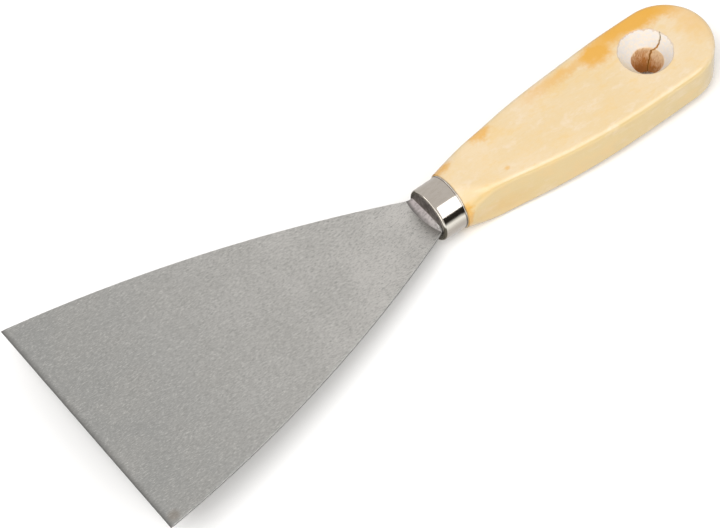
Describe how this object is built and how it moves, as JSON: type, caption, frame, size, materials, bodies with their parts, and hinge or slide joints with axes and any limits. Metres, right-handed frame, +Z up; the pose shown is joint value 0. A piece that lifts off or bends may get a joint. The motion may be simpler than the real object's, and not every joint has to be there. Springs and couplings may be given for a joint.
{
  "type": "flexible putty knife",
  "caption": "Flexible putty knife: thin bowed-side steel blade with a hollow-ground neck, drawn metal ferrule and flat lacquered wooden handle with a countersunk hanging hole.",
  "frame": {"origin": "under the middle of the knife's length and width, at the level of its lowest point, the wood's round shoulder behind the ferrule", "axes": "+X along the handle towards the working edge, +Y across the blade, +Z up out of the handle's upper face; the blade rises 4 degrees from +X"},
  "size_m": [0.2194, 0.08, 0.0172],
  "materials": {
    "spring_steel": "satin, ground along the blade",
    "nickel_plate": "polished nickel plate",
    "lacquered_wood": "clear gloss lacquer over pale close-grained hardwood"
  },
  "bodies": {
    "grip": {"handle": "lacquered_wood", "ferrule": "nickel_plate", "neck_and_tang": "spring_steel"},
    "leaf": {"blade": "spring_steel"}
  },
  "joints": [
    {"name": "blade_flex", "type": "hinge", "parent": "grip", "child": "leaf", "pos_m": [-0.00153, 0, 0.00904], "axis": [0, 1, 0], "range_deg": [-25, 25], "stiffness_Nm_per_rad": 9.6}
  ]
}
